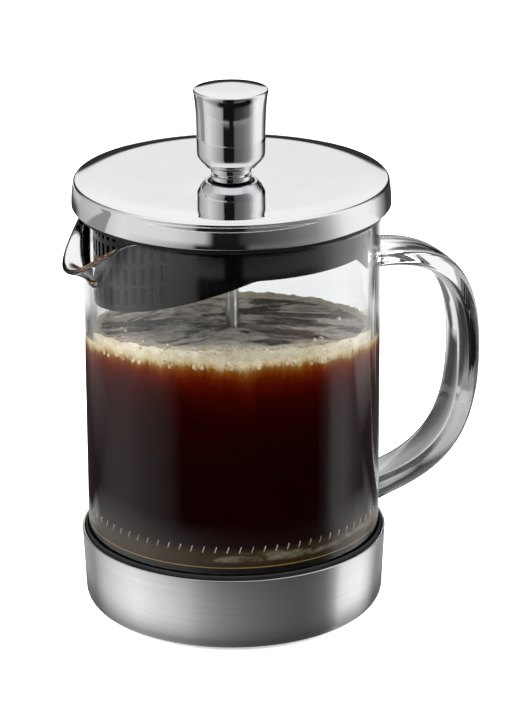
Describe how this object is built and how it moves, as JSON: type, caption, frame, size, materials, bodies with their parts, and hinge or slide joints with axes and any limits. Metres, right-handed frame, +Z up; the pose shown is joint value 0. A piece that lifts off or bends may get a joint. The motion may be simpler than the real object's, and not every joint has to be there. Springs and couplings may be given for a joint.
{
  "type": "french press",
  "caption": "Glass french press with a spouted, handled beaker in a steel base cup, a polished lid with a pouring strainer, and a sprung filter plunger.",
  "frame": {"origin": "centre of the underside of the foot pad, on the axis of the beaker", "axes": "+Z up along the beaker's axis, +X towards the handle, -X towards the spout, +Y across"},
  "size_m": [0.1322, 0.096, 0.1625],
  "materials": {
    "silicone_black": "matte",
    "steel_satin": "satin",
    "glass_clear": "gloss",
    "steel_polished": "polished",
    "plastic_black": "satin",
    "steel_filter": "satin",
    "coffee": "gloss",
    "coffee_foam": "matte"
  },
  "bodies": {
    "base": {"foot_pad": "silicone_black", "steel_base_cup": "steel_satin", "rest_pad": "silicone_black", "seal_ring": "silicone_black"},
    "beaker": {"glass_beaker": "glass_clear", "glass_handle": "glass_clear"},
    "lid_hub": {"rod_guide_bush": "steel_polished", "bush_nut": "steel_filter"},
    "lid": {"lid_cover": "steel_polished", "lid_liner": "plastic_black", "strainer": "plastic_black"},
    "plunger": {"knob_shell": "steel_polished", "knob_core": "plastic_black", "plunger_rod": "steel_polished", "rod_collar": "steel_filter", "spring_plate": "steel_filter", "rim_spring": "steel_filter", "mesh_filter": "steel_filter", "cross_plate": "steel_filter", "filter_nut": "steel_filter"}
  },
  "joints": [
    {"name": "beaker_lift", "type": "slide", "parent": "base", "child": "beaker", "axis": [0, 0, 1], "range_m": [0, 0.03]},
    {"name": "lid_lift", "type": "slide", "parent": "beaker", "child": "lid_hub", "axis": [0, 0, 1], "range_m": [0, 0.115]},
    {"name": "lid_turn", "type": "hinge", "parent": "lid_hub", "child": "lid", "pos_m": [0, 0, 0.1256], "axis": [0, 0, 1], "continuous": true},
    {"name": "plunge", "type": "slide", "parent": "lid_hub", "child": "plunger", "axis": [0, 0, 1], "range_m": [0, 0.065]}
  ]
}
